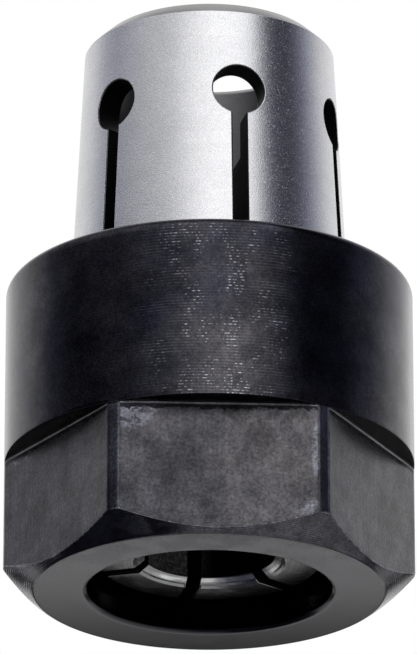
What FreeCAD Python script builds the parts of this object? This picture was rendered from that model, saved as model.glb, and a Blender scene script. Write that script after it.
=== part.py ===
import FreeCAD, Part
import Sketcher
import os

# Spring collet held in its clamping nut, in millimetres.
# The axis of turning is Z. The nut's front face, where the shank goes in, lies in the plane Z = 0.
# The tapered tail of the collet points up, along +Z.

document = FreeCAD.newDocument("spring_collet_and_nut")

# Driving dimensions. Diameters and lengths are in millimetres, and angles are in degrees.
driving_sizes = [
    # Outside of the nut
    ("across_flats", 22.0, "wrench size of the six flats"),
    ("flat_depth", 1.5, "how deep the flats are milled into the round body"),
    ("nut_height", 19.45, "front face to the spindle end"),
    ("flats_height", 8.1, "front face to the ledges above the flats"),
    ("ledge_fillet", 0.15, "radius where a flat runs into its ledge"),
    ("face_inset", 0.36, "from the flats in to the outer edge of the front face"),
    ("face_cone_angle", 36.0, "front cone, measured from the front face"),
    ("nut_top_round", 0.5, "radius on the outer edge of the spindle end"),
    # Inside of the nut
    ("seat_width", 1.86, "seat for the collet's front cone, across, from the head in to the mouth"),
    ("mouth_edge", 0.21, "chamfer on the edge of the mouth"),
    ("groove_wall", 1.1, "metal between the flats and the groove for the ring"),
    ("ledge_web", 1.6, "metal between the ledges and the threaded length"),
    ("nut_wall", 1.5, "metal round the threaded length, which is bored to the root of its thread"),
    ("thread_lead_in", 0.4, "chamfer where the spindle nose enters"),
    ("undercut_depth", 0.2, "undercut at the inner end of the thread, beyond its root"),
    ("undercut_width", 1.4, "length of that undercut"),
    # Outside of the collet
    ("collet_length", 34.1, "front face to tail end"),
    ("face_recess", 1.9, "front face of the nut to the front face of the collet"),
    ("cone_width", 2.65, "front cone, across, from the head in to the front face"),
    ("seat_angle", 45.0, "front cone and its seat, measured from the axis"),
    ("head_land", 1.2, "head in front of the ring groove"),
    ("shoulder_land", 1.7, "head behind the ring groove"),
    ("head_step", 0.2, "step from the head in to the large end of the taper"),
    ("taper_angle", 2.83, "tapered tail, measured from the axis"),
    ("tail_edge_width", 0.9, "chamfer on the outer edge of the tail end, across"),
    ("tail_edge_height", 0.9, "the same chamfer, along the axis"),
    # Inside of the collet
    ("shank_diameter", 8.0, "gripping bore"),
    ("bore_edge_width", 0.62, "chamfer at the mouth of the gripping bore, across"),
    ("bore_edge_depth", 0.46, "the same chamfer, along the axis"),
    ("tail_wall", 1.4, "metal between the tail end of the taper and the wider bore"),
    ("tail_land", 0.14, "flat rim left between the two chamfers of the tail end"),
    ("relief_depth", 10.0, "tail end to the shoulder of the wider bore"),
    # Keyhole slots
    ("slot_count", 6, "slots round the collet"),
    ("slot_width", 0.9, "saw cut"),
    ("keyhole_diameter", 3.2, "hole at the end of each slot"),
    ("keyhole_drop", 6.15, "tail end to the centre of the holes"),
    ("slot_edge", 0.07, "chamfer round the holes and slots on the taper"),
    ("slot_turn", 10.25, "how far the collet stands turned in the nut"),
    # Retaining ring
    ("ring_width", 1.0, "flat wire of the ring, across"),
    ("ring_thickness", 1.0, "the same wire, along the axis"),
    ("ring_bite", 0.4, "how far the ring reaches past the head into the collet's groove"),
    ("ring_gap_angle", 24.0, "opening of the ring"),
    ("squeeze_room", 0.6, "room under the ring, so that it can close for fitting"),
    # Clearances
    ("turning_clearance", 0.1, "nut to collet, on the radius and along the axis"),
    ("ring_clearance", 0.05, "ring to the nut's groove, all round"),
    ("ring_play", 0.3, "ring to the sides of the collet's groove, each side"),
]

sheet = document.addObject("Spreadsheet::Sheet", "Sizes")
for row, (alias, value, meaning) in enumerate(driving_sizes, start=1):
    sheet.set(f"A{row}", alias)
    sheet.set(f"B{row}", str(value))
    sheet.set(f"C{row}", meaning)
    sheet.setAlias(f"B{row}", alias)
document.recompute()

FLAT_COUNT = 6
# Lengths that differ by less count as equal where edges are picked
SAME_LENGTH = 1e-4

# Radii of the nut and the ring, from the flats inwards
FLAT_DISTANCE = "(Sizes.across_flats / 2)"
NUT_RADIUS = f"({FLAT_DISTANCE} + Sizes.flat_depth)"
FACE_RADIUS = f"({FLAT_DISTANCE} - Sizes.face_inset)"
THREAD_RADIUS = f"({NUT_RADIUS} - Sizes.nut_wall)"
UNDERCUT_RADIUS = f"({THREAD_RADIUS} + Sizes.undercut_depth)"
NUT_GROOVE_RADIUS = f"({FLAT_DISTANCE} - Sizes.groove_wall)"
RING_OUTER = f"({NUT_GROOVE_RADIUS} - Sizes.ring_clearance)"
RING_INNER = f"({RING_OUTER} - Sizes.ring_width)"

# Radii of the collet. The ring reaches past its head, and the nut's bore clears the head.
HEAD_RADIUS = f"({RING_INNER} + Sizes.ring_bite)"
NUT_BORE_RADIUS = f"({HEAD_RADIUS} + Sizes.turning_clearance)"
MOUTH_RADIUS = f"({HEAD_RADIUS} - Sizes.seat_width)"
FRONT_RADIUS = f"({HEAD_RADIUS} - Sizes.cone_width)"
COLLET_GROOVE_RADIUS = f"({RING_INNER} - Sizes.squeeze_room)"
SHANK_RADIUS = "(Sizes.shank_diameter / 2)"

# Heights along the collet, from its front face up
COLLET_FRONT = "Sizes.face_recess"
HEAD_START = f"({COLLET_FRONT} + Sizes.cone_width / tan(Sizes.seat_angle))"
GROOVE_START = f"({HEAD_START} + Sizes.head_land)"
GROOVE_END = f"({GROOVE_START} + Sizes.ring_thickness + 2 * Sizes.ring_play)"
TAPER_START = f"({GROOVE_END} + Sizes.shoulder_land)"
TAIL_END = f"({COLLET_FRONT} + Sizes.collet_length)"
CHAMFER_START = f"({TAIL_END} - Sizes.tail_edge_height)"
KEYHOLE_HEIGHT = f"({TAIL_END} - Sizes.keyhole_drop)"
RELIEF_FLOOR = f"({TAIL_END} - Sizes.relief_depth)"


def taper_radius(height):
    """Radius of the tapered tail at a height, from its large end behind the head."""
    return f"({HEAD_RADIUS} - Sizes.head_step - ({height} - {TAPER_START}) * tan(Sizes.taper_angle))"


TAIL_RADIUS = taper_radius(TAIL_END)
RELIEF_RADIUS = f"({TAIL_RADIUS} - Sizes.tail_wall)"
RELIEF_EDGE = "(Sizes.tail_wall - Sizes.tail_edge_width - Sizes.tail_land)"

# Heights of the ring and inside the nut. The ring lies in the middle of the collet's groove.
RING_START = f"({GROOVE_START} + Sizes.ring_play)"
RING_END = f"({RING_START} + Sizes.ring_thickness)"
NUT_GROOVE_START = f"({RING_START} - Sizes.ring_clearance)"
NUT_GROOVE_END = f"({RING_END} + Sizes.ring_clearance)"
THREAD_FLOOR = "(Sizes.flats_height + Sizes.ledge_web)"
UNDERCUT_END = f"({THREAD_FLOOR} + Sizes.undercut_width)"
CONE_HEIGHT = f"(({NUT_RADIUS} - {FACE_RADIUS}) * tan(Sizes.face_cone_angle))"


def seat_height(radius):
    """Height of the nut's seat at a radius, parallel to the collet's front cone and just in front of it."""
    along_cone = f"({radius} - {FRONT_RADIUS}) / tan(Sizes.seat_angle)"
    return f"({COLLET_FRONT} + {along_cone} - Sizes.turning_clearance)"


def origin_feature(body, role):
    """One of the body's own base planes or axes."""
    return next(feature for feature in body.Origin.OriginFeatures if feature.Role == role)


def add_sketch(body, name, plane_role):
    """An empty sketch on one of the body's own base planes."""
    sketch = body.newObject("Sketcher::SketchObject", name)
    sketch.AttachmentSupport = (origin_feature(body, plane_role), [""])
    sketch.MapMode = "FlatFace"
    return sketch


def number(expression):
    """The present value of an expression of driving dimensions."""
    value = sheet.evalExpression(expression)
    return float(getattr(value, "Value", value))


def drive(sketch, constraint, expression):
    """Adds a dimension to a sketch and ties it to the sheet."""
    index = sketch.addConstraint(constraint)
    sketch.setExpression(f"Constraints[{index}]", expression)


def draw_outline(sketch, corners):
    """A closed outline of straight edges. Each corner is a pair of expressions: radius and height."""
    points = [FreeCAD.Vector(number(radius), number(height), 0) for radius, height in corners]
    edges = []
    for start, end in zip(points, points[1:] + points[:1]):
        edges.append(sketch.addGeometry(Part.LineSegment(start, end), False))
    for edge, following in zip(edges, edges[1:] + edges[:1]):
        sketch.addConstraint(Sketcher.Constraint("Coincident", edge, 2, following, 1))
    for edge, point, (radius, height) in zip(edges, points, corners):
        drive(sketch, Sketcher.Constraint("DistanceX", -1, 1, edge, 1, point.x), radius)
        drive(sketch, Sketcher.Constraint("DistanceY", -1, 1, edge, 1, point.y), height)


def revolve(body, name, corners):
    """Turns an outline about the Z axis into a solid."""
    sketch = add_sketch(body, f"{name}_section", "XZ_Plane")
    draw_outline(sketch, corners)
    turned = body.newObject("PartDesign::Revolution", name)
    turned.Profile = sketch
    turned.ReferenceAxis = (sketch, ["V_Axis"])
    turned.Angle = 360
    document.recompute()
    return turned


def straight_edges_at(shape, height):
    """Names of the straight edges that lie level at a height."""
    names = []
    for index, edge in enumerate(shape.Edges, start=1):
        level = all(abs(vertex.Z - height) < SAME_LENGTH for vertex in edge.Vertexes)
        if level and edge.Curve.TypeId == "Part::GeomLine":
            names.append(f"Edge{index}")
    return names


def round_edges_at(shape, radius, height):
    """Names of the circular edges of one radius that lie level at a height."""
    names = []
    for index, edge in enumerate(shape.Edges, start=1):
        level = all(abs(vertex.Z - height) < SAME_LENGTH for vertex in edge.Vertexes)
        is_circle = edge.Curve.TypeId == "Part::GeomCircle"
        if level and is_circle and abs(edge.Curve.Radius - radius) < SAME_LENGTH:
            names.append(f"Edge{index}")
    return names


def slot_edges_on_taper(shape):
    """Names of the edges where the keyhole slots break through the tapered surface."""
    taper = max((face for face in shape.Faces if face.Surface.TypeId == "Part::GeomCone"),
                key=lambda face: face.Area)
    turned = ("Part::GeomCircle", "Part::GeomLine")
    cut = [edge for edge in taper.Edges if edge.Curve.TypeId not in turned]
    return [f"Edge{index}" for index, edge in enumerate(shape.Edges, start=1)
            if any(edge.isSame(other) for other in cut)]


def make_nut():
    """The nut: turned all over, bored and grooved inside, with six flats milled up from its face."""
    body = document.addObject("PartDesign::Body", "clamping_nut")
    turned = revolve(body, "turned_nut", [
        (f"({MOUTH_RADIUS} + Sizes.mouth_edge)", "0"),
        (FACE_RADIUS, "0"),
        (NUT_RADIUS, CONE_HEIGHT),
        (NUT_RADIUS, "Sizes.nut_height"),
        (f"({THREAD_RADIUS} + Sizes.thread_lead_in)", "Sizes.nut_height"),
        (THREAD_RADIUS, "(Sizes.nut_height - Sizes.thread_lead_in)"),
        (THREAD_RADIUS, UNDERCUT_END),
        (UNDERCUT_RADIUS, UNDERCUT_END),
        (UNDERCUT_RADIUS, THREAD_FLOOR),
        (NUT_BORE_RADIUS, THREAD_FLOOR),
        (NUT_BORE_RADIUS, NUT_GROOVE_END),
        (NUT_GROOVE_RADIUS, NUT_GROOVE_END),
        (NUT_GROOVE_RADIUS, NUT_GROOVE_START),
        (NUT_BORE_RADIUS, NUT_GROOVE_START),
        (NUT_BORE_RADIUS, seat_height(NUT_BORE_RADIUS)),
        (MOUTH_RADIUS, seat_height(MOUTH_RADIUS)),
        (MOUTH_RADIUS, "Sizes.mouth_edge"),
    ])

    hexagon = add_sketch(body, "hexagon", "XY_Plane")
    corner_radius = f"({FLAT_DISTANCE} / cos(180 / {FLAT_COUNT}))"
    clear_of_nut = f"(2 * {NUT_RADIUS})"
    reach = number(corner_radius)
    axis = FreeCAD.Vector(0, 0, 1)
    turn = FreeCAD.Rotation(axis, 360 / FLAT_COUNT)
    half_flat = (reach ** 2 - number(FLAT_DISTANCE) ** 2) ** 0.5
    points = [FreeCAD.Vector(-half_flat, -number(FLAT_DISTANCE), 0)]
    while len(points) < FLAT_COUNT:
        points.append(turn.multVec(points[-1]))
    sides = []
    for start, end in zip(points, points[1:] + points[:1]):
        sides.append(hexagon.addGeometry(Part.LineSegment(start, end), False))
    guide = hexagon.addGeometry(Part.Circle(FreeCAD.Vector(), axis, reach), True)
    border = hexagon.addGeometry(Part.Circle(FreeCAD.Vector(), axis, number(clear_of_nut)), False)
    for circle in (guide, border):
        hexagon.addConstraint(Sketcher.Constraint("Coincident", circle, 3, -1, 1))
    for side, following in zip(sides, sides[1:] + sides[:1]):
        hexagon.addConstraint(Sketcher.Constraint("Coincident", side, 2, following, 1))
        hexagon.addConstraint(Sketcher.Constraint("PointOnObject", side, 1, guide))
    for side in sides[1:]:
        hexagon.addConstraint(Sketcher.Constraint("Equal", sides[0], side))
    hexagon.addConstraint(Sketcher.Constraint("Horizontal", sides[0]))
    drive(hexagon, Sketcher.Constraint("Radius", guide, reach), corner_radius)
    drive(hexagon, Sketcher.Constraint("Radius", border, number(clear_of_nut)), clear_of_nut)

    flats = body.newObject("PartDesign::Pocket", "wrench_flats")
    flats.Profile = hexagon
    flats.Reversed = True
    flats.setExpression("Length", "Sizes.flats_height")
    document.recompute()
    if not flats.Shape.Volume < turned.Shape.Volume:
        raise RuntimeError("the wrench flats cut nothing")

    roots = body.newObject("PartDesign::Fillet", "ledge_roots")
    roots.Base = (flats, straight_edges_at(flats.Shape, number("Sizes.flats_height")))
    roots.setExpression("Radius", "Sizes.ledge_fillet")
    document.recompute()

    rim = body.newObject("PartDesign::Fillet", "spindle_end_round")
    rim.Base = (roots, round_edges_at(roots.Shape, number(NUT_RADIUS), number("Sizes.nut_height")))
    rim.setExpression("Radius", "Sizes.nut_top_round")
    document.recompute()
    return body


def make_collet():
    """The collet: turned and ground outside and inside, then cut by keyhole slots from its front end."""
    body = document.addObject("PartDesign::Body", "spring_collet")
    turned = revolve(body, "turned_collet", [
        (f"({SHANK_RADIUS} + Sizes.bore_edge_width)", COLLET_FRONT),
        (FRONT_RADIUS, COLLET_FRONT),
        (HEAD_RADIUS, HEAD_START),
        (HEAD_RADIUS, GROOVE_START),
        (COLLET_GROOVE_RADIUS, GROOVE_START),
        (COLLET_GROOVE_RADIUS, GROOVE_END),
        (HEAD_RADIUS, GROOVE_END),
        (HEAD_RADIUS, TAPER_START),
        (taper_radius(TAPER_START), TAPER_START),
        (taper_radius(CHAMFER_START), CHAMFER_START),
        (f"({TAIL_RADIUS} - Sizes.tail_edge_width)", TAIL_END),
        (f"({RELIEF_RADIUS} + {RELIEF_EDGE})", TAIL_END),
        (RELIEF_RADIUS, f"({TAIL_END} - {RELIEF_EDGE})"),
        (RELIEF_RADIUS, RELIEF_FLOOR),
        (SHANK_RADIUS, RELIEF_FLOOR),
        (SHANK_RADIUS, f"({COLLET_FRONT} + Sizes.bore_edge_depth)"),
    ])

    keyhole = add_sketch(body, "keyhole_outline", "XZ_Plane")
    half_slot = number("Sizes.slot_width") / 2
    radius = number("Sizes.keyhole_diameter") / 2
    height = number(KEYHOLE_HEIGHT)
    shoulder = height - (radius ** 2 - half_slot ** 2) ** 0.5
    corners = [FreeCAD.Vector(x, z, 0) for x, z in (
        (half_slot, shoulder), (half_slot, 0), (-half_slot, 0), (-half_slot, shoulder))]
    right, foot, left = (keyhole.addGeometry(Part.LineSegment(start, end), False)
                         for start, end in zip(corners, corners[1:]))
    arc = keyhole.addGeometry(Part.Arc(
        corners[0], FreeCAD.Vector(0, height + radius, 0), corners[3]), False)
    keyhole.addConstraint(Sketcher.Constraint("Coincident", right, 2, foot, 1))
    keyhole.addConstraint(Sketcher.Constraint("Coincident", foot, 2, left, 1))
    keyhole.addConstraint(Sketcher.Constraint("Coincident", right, 1, arc, 1))
    keyhole.addConstraint(Sketcher.Constraint("Coincident", left, 2, arc, 2))
    keyhole.addConstraint(Sketcher.Constraint("Vertical", right))
    keyhole.addConstraint(Sketcher.Constraint("Vertical", left))
    keyhole.addConstraint(Sketcher.Constraint("PointOnObject", foot, 1, -1))
    keyhole.addConstraint(Sketcher.Constraint("Symmetric", foot, 1, foot, 2, -2))
    keyhole.addConstraint(Sketcher.Constraint("PointOnObject", arc, 3, -2))
    drive(keyhole, Sketcher.Constraint("Distance", foot, 2 * half_slot), "Sizes.slot_width")
    drive(keyhole, Sketcher.Constraint("Radius", arc, radius), "Sizes.keyhole_diameter / 2")
    drive(keyhole, Sketcher.Constraint("DistanceY", -1, 1, arc, 3, height), KEYHOLE_HEIGHT)

    slot = body.newObject("PartDesign::Pocket", "keyhole_slot")
    slot.Profile = keyhole
    slot.Reversed = True
    slot.setExpression("Length", f"2 * {HEAD_RADIUS}")
    document.recompute()

    slots = body.newObject("PartDesign::PolarPattern", "keyhole_slots")
    slots.Originals = [slot]
    slots.Axis = (origin_feature(body, "Z_Axis"), [""])
    slots.Angle = 360
    slots.setExpression("Occurrences", "Sizes.slot_count")
    body.Tip = slots
    document.recompute()
    one_slot = turned.Shape.Volume - slot.Shape.Volume
    all_slots = turned.Shape.Volume - slots.Shape.Volume
    if abs(all_slots - one_slot * number("Sizes.slot_count")) > 0.01 * all_slots:
        raise RuntimeError("the keyhole slots are not all cut")

    edges = body.newObject("PartDesign::Chamfer", "slot_edges")
    edges.Base = (slots, slot_edges_on_taper(slots.Shape))
    edges.setExpression("Size", "Sizes.slot_edge")
    body.setExpression("Placement.Rotation.Angle", "Sizes.slot_turn")
    document.recompute()
    return body


def make_ring():
    """The retaining ring: flat wire bent to a circle and left open at one place."""
    body = document.addObject("PartDesign::Body", "retaining_ring")
    bent = revolve(body, "bent_wire", [
        (RING_INNER, RING_START),
        (RING_OUTER, RING_START),
        (RING_OUTER, RING_END),
        (RING_INNER, RING_END),
    ])
    bent.setExpression("Angle", "360 - Sizes.ring_gap_angle")
    document.recompute()
    return body


def check_document():
    """Stops if any object has failed or any shape is empty or broken."""
    for item in document.Objects:
        if {"Invalid", "Error"} & set(item.State):
            raise RuntimeError(f"{item.Label} failed: {item.State}")
    for body in bodies:
        if body.Shape.isNull() or not body.Shape.isValid():
            raise RuntimeError(f"{body.Label} has no valid shape")


bodies = [make_nut(), make_collet(), make_ring()]
document.recompute()
check_document()

os.makedirs("parts", exist_ok=True)
for body in bodies:
    body.Shape.exportStep(f"parts/{body.Label}.step")
    box = body.Shape.BoundBox
    print(f"{body.Label}: {body.Shape.Volume:.1f} mm3, {len(body.Shape.Solids)} solid, "
          f"Z {box.ZMin:.2f} to {box.ZMax:.2f}, width {box.XLength:.2f}")
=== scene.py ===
import math
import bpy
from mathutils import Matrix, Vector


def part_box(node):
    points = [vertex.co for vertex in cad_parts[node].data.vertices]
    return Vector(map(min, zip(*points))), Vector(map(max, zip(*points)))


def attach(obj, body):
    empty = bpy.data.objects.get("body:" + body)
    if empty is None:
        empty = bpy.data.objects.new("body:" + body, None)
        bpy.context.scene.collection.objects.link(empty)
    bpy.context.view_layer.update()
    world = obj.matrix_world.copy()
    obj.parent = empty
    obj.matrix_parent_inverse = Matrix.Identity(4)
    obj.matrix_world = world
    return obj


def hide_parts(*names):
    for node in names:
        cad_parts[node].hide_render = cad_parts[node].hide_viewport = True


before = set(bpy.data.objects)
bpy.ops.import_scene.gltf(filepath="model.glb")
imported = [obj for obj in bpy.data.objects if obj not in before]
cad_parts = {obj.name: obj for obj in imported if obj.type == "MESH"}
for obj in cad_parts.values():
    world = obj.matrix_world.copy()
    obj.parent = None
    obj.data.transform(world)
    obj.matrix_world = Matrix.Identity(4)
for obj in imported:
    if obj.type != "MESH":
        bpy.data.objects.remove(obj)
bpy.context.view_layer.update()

from types import SimpleNamespace

import bmesh
import bpy
import numpy as np

# Spring collet standing in its clamping nut: finishes, thread, studio and camera. Lengths are in metres.
# The axis of turning is Z, the nut's front face lies at Z = 0, and its front flat looks along -Y.
# An azimuth is measured about Z from -Y towards +X.

_, nut_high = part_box("clamping_nut")
_, collet_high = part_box("spring_collet")
MM = 0.001
MERGE_REACH = 0.0005 * MM
scene = bpy.context.scene


# Node helpers

def place(tree, kind, feeds=None, **settings):
    """Adds a node with its settings. Feeds give each named input a value or a link."""
    made = tree.nodes.new(kind)
    for name, value in settings.items():
        setattr(made, name, value)
    for name, value in (feeds or {}).items():
        if isinstance(value, bpy.types.NodeSocket):
            tree.links.new(value, made.inputs[name])
        else:
            made.inputs[name].default_value = value
    return made


def calculate(tree, operation, first, second=None, third=None, clamp=False):
    """One math node and its result."""
    feeds = {i: value for i, value in enumerate((first, second, third)) if value is not None}
    return place(tree, "ShaderNodeMath", feeds, operation=operation, use_clamp=clamp).outputs[0]


def ramp(tree, value, low, high, to_low=0.0, to_high=1.0):
    """A value eased from one level to another as it goes from low to high."""
    feeds = {"Value": value, "From Min": low, "From Max": high, "To Min": to_low, "To Max": to_high}
    return place(tree, "ShaderNodeMapRange", feeds, interpolation_type="SMOOTHSTEP").outputs[0]


def blend(tree, amount, first, second, mode="MIX"):
    """Two colours mixed by an amount."""
    mix = place(tree, "ShaderNodeMix", data_type="RGBA", blend_type=mode)
    for socket, value in ((0, amount), (6, first), (7, second)):
        if isinstance(value, bpy.types.NodeSocket):
            tree.links.new(value, mix.inputs[socket])
        else:
            mix.inputs[socket].default_value = value
    return mix.outputs[2]


def new_material(name):
    """A material with nothing in it but its output."""
    material = bpy.data.materials.new(name)
    material.use_nodes = True
    material.node_tree.nodes.clear()
    output = place(material.node_tree, "ShaderNodeOutputMaterial")
    return material, material.node_tree, output


def new_group(name, inputs, outputs):
    """An empty shader node group. Inputs are names with their values, and outputs are names with
    their socket types."""
    tree = bpy.data.node_groups.new(name, "ShaderNodeTree")
    for label, value in inputs.items():
        kind = "NodeSocketVector" if isinstance(value, tuple) else "NodeSocketFloat"
        socket = tree.interface.new_socket(label, in_out="INPUT", socket_type=kind)
        socket.default_value = value
    for label, kind in outputs.items():
        tree.interface.new_socket(label, in_out="OUTPUT", socket_type=kind)
    return tree, place(tree, "NodeGroupInput").outputs, place(tree, "NodeGroupOutput")


def dress(piece, material):
    """Gives a piece its one material."""
    piece.data.materials.clear()
    piece.data.materials.append(material)


def grid_piece(name, points, closed_rows=False, closed_columns=False, values=None):
    """A surface over a grid of points, an array of rows by columns by three, with four-sided faces.
    It is closed where its last row or column goes on to the first, and points that meet are merged.
    Values are named numbers for the points."""
    rows, columns = points.shape[:2]
    corner = np.arange(rows * columns).reshape(rows, columns)
    if closed_rows:
        corner = np.concatenate([corner, corner[:1]], axis=0)
    if closed_columns:
        corner = np.concatenate([corner, corner[:, :1]], axis=1)
    faces = np.stack([corner[:-1, :-1], corner[:-1, 1:], corner[1:, 1:], corner[1:, :-1]], axis=-1)
    mesh = bpy.data.meshes.new(name)
    mesh.from_pydata(points.reshape(-1, 3).tolist(), [], faces.reshape(-1, 4).tolist())
    for label, array in (values or {}).items():
        attribute = mesh.attributes.new(label, "FLOAT", "POINT")
        spread = np.broadcast_to(array, (rows, columns)).ravel()
        attribute.data.foreach_set("value", spread.astype(np.float32))
    shape = bmesh.new()
    shape.from_mesh(mesh)
    bmesh.ops.remove_doubles(shape, verts=shape.verts, dist=MERGE_REACH)
    shape.to_mesh(mesh)
    shape.free()
    mesh.shade_smooth()
    piece = bpy.data.objects.new(name, mesh)
    scene.collection.objects.link(piece)
    return piece


# Studio

CAMERA_PLACE = (-0.019657, -0.377873, -0.133652)
CAMERA_RISE = 21.75
CAMERA_TURN = -2.97
CAMERA_LENS = 365.04
SENSOR_WIDTH = 36.0
SOFT_LIGHT = 0.35


def make_camera():
    """The photograph's view: from below and in front, up into the nut's mouth."""
    lens = bpy.data.cameras.new("camera")
    lens.lens = CAMERA_LENS
    lens.sensor_width = SENSOR_WIDTH
    lens.clip_start = 0.01
    lens.clip_end = 20.0
    camera = bpy.data.objects.new("camera", lens)
    camera.location = CAMERA_PLACE
    camera.rotation_euler = (math.radians(90 + CAMERA_RISE), 0.0, math.radians(CAMERA_TURN))
    scene.collection.objects.link(camera)
    scene.camera = camera


def make_world():
    """A white surround that the eye and shiny metal see, and a softer light for the rest."""
    world = bpy.data.worlds.new("white_surround")
    world.use_nodes = True
    tree = world.node_tree
    tree.nodes.clear()
    rays = place(tree, "ShaderNodeLightPath").outputs
    seen = calculate(tree, "MAXIMUM", rays["Is Camera Ray"], rays["Is Glossy Ray"])
    seen = calculate(tree, "MAXIMUM", seen, rays["Is Transmission Ray"])
    strength = place(tree, "ShaderNodeMapRange", {"Value": seen, "To Min": SOFT_LIGHT, "To Max": 1.0})
    shine = place(tree, "ShaderNodeBackground", {"Strength": strength.outputs[0]})
    shine.inputs["Color"].default_value = (1.0, 1.0, 1.0, 1.0)
    output = place(tree, "ShaderNodeOutputWorld")
    tree.links.new(shine.outputs[0], output.inputs["Surface"])
    scene.world = world


def eased(value, low, high):
    """Rises smoothly from 0 at low to 1 at high."""
    share = np.clip((value - low) / (high - low), 0, 1)
    return share * share * (3 - 2 * share)


CARD_RADIUS = 0.6
WALL_AZIMUTHS = (-160, -130, -112, -95, -82, -72, -50, -35, -15, 0, 18, 28, 38, 46, 54, 78, 90, 104, 120,
                 135, 160)
WALL_LOW_GLOW = (1.05, 1.0, 0.84, 0.2, 0.01, 0.01, 0.06, 0.3, 0.84, 1.5, 1.8, 1.05, 0.32, 0.18, 0.12, 0.11,
                 0.3, 0.55, 1.05, 1.15, 1.3)
WALL_HIGH_GLOW = (1.0, 0.9, 0.58, 0.58, 0.72, 0.82, 0.96, 1.02, 1.55, 1.75, 1.75, 1.75, 2.1, 0.75, 0.04,
                  0.03, 0.15, 0.5, 0.88, 1.0, 1.0)
WALL_STEP = (22, 30)
WALL_FOOT = (-8, 10)


def wall_glow(azimuth, elevation):
    """The lamp panel in front, a dark panel on the right and a shaded one on the left, which is
    lighter higher up. The wall's foot is dark."""
    low = np.interp(azimuth, WALL_AZIMUTHS, WALL_LOW_GLOW)
    high = np.interp(azimuth, WALL_AZIMUTHS, WALL_HIGH_GLOW)
    glow = low + (high - low) * eased(elevation, *WALL_STEP)
    return glow * (0.05 + 0.95 * eased(elevation, *WALL_FOOT))


def roof_glow(azimuth, elevation):
    """A ceiling that is dim in front and brighter behind."""
    return 0.5 + 0.6 * eased(np.abs(azimuth), 100, 150)


def pit_glow(azimuth, elevation):
    """White on the right, nearly dark on the left and in front, with a lit strip low in front and a
    dark grey sweep behind. It fades towards the horizon, except behind. The direction is
    (cos e sin a, cos e cos a, sin e) to the right, to the front and up."""
    across = np.cos(np.radians(elevation)) * np.sin(np.radians(azimuth))
    forward = np.cos(np.radians(elevation)) * np.cos(np.radians(azimuth))
    right = eased(across, -0.22, -0.06)
    front = eased(forward, 0.2, 0.4)
    behind = eased(-forward, 0.5, 0.8)
    left = eased(-across, 0.1, 0.3)
    glow = 0.02 + 0.98 * right * (1 - front) + 0.07 * left
    low_strip = eased(-elevation, 32, 40) * (1 - eased(-elevation, 52, 62)) * eased(forward, 0.3, 0.45)
    glow = glow + 0.9 * low_strip
    glow = glow + (0.12 - glow) * behind
    level = eased(-elevation, 26, 34)
    return glow * np.maximum(level, eased(np.abs(azimuth), 135, 150))


def hood_glow(azimuth, elevation):
    """A grey hood high up behind."""
    return np.full_like(azimuth, 1.05)


SHADE_TINT = (0.64, 0.69, 1.0, 1.0)
PLAIN = (1.0, 1.0, 1.0, 1.0)


def light_only_gloss(card, name, shade=SHADE_TINT):
    """The card shines with its own glow, tinted where it is dim, and only gloss sees it."""
    material, tree, output = new_material(name)
    strength = place(tree, "ShaderNodeAttribute", attribute_name="glow").outputs["Fac"]
    tint = blend(tree, ramp(tree, strength, 0.0, 1.05), shade, PLAIN)
    shine = place(tree, "ShaderNodeEmission", {"Color": tint, "Strength": strength})
    tree.links.new(shine.outputs[0], output.inputs["Surface"])
    dress(card, material)
    for rays in ("camera", "diffuse", "shadow", "volume_scatter"):
        setattr(card, f"visible_{rays}", False)


def make_card(name, azimuths, elevations, glow):
    """Part of a sphere round the object that only its gloss sees: place
    R (cos e sin a, -cos e cos a, sin e), with a glow of its own for each azimuth a and elevation e."""
    azimuth, elevation = np.meshgrid(np.linspace(*azimuths, 121), np.linspace(*elevations, 41))
    turn, rise = np.radians(azimuth + CAMERA_TURN), np.radians(elevation)
    away = np.stack([np.cos(rise) * np.sin(turn), -np.cos(rise) * np.cos(turn), np.sin(rise)], axis=-1)
    card = grid_piece(name, away * CARD_RADIUS, values={"glow": glow(azimuth, elevation)})
    light_only_gloss(card, name)


SWEEP_DEPTH = 10.0 * MM
SWEEP_HALF_WIDTH = 60.0 * MM
SWEEP_PLACES = (15 * MM, 26 * MM, 33 * MM, 38 * MM, 60 * MM, 250 * MM)
SWEEP_GLOWS = (1.05, 0.9, 0.5, 0.1, 0.03, 0.03)


def make_sweep():
    """A small flat card behind the nut and just below it, for its face alone: place (u, v, -depth)
    turned to the camera, dimmer as v goes away."""
    across, away = np.meshgrid(np.linspace(-SWEEP_HALF_WIDTH, SWEEP_HALF_WIDTH, 25),
                               np.geomspace(SWEEP_PLACES[0], SWEEP_PLACES[-1], 49))
    turn = math.radians(CAMERA_TURN)
    points = np.stack([across * math.cos(turn) - away * math.sin(turn),
                       across * math.sin(turn) + away * math.cos(turn),
                       np.full_like(away, -SWEEP_DEPTH)], axis=-1)
    glow = np.interp(away, SWEEP_PLACES, SWEEP_GLOWS)
    light_only_gloss(grid_piece("face_sweep", points, values={"glow": glow}), "face_sweep", PLAIN)


FLOOR_DROP = 0.02 * MM
FLOOR_RADIUS = 3.0
GLOSS_OPENING = 42.0 * MM


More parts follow.
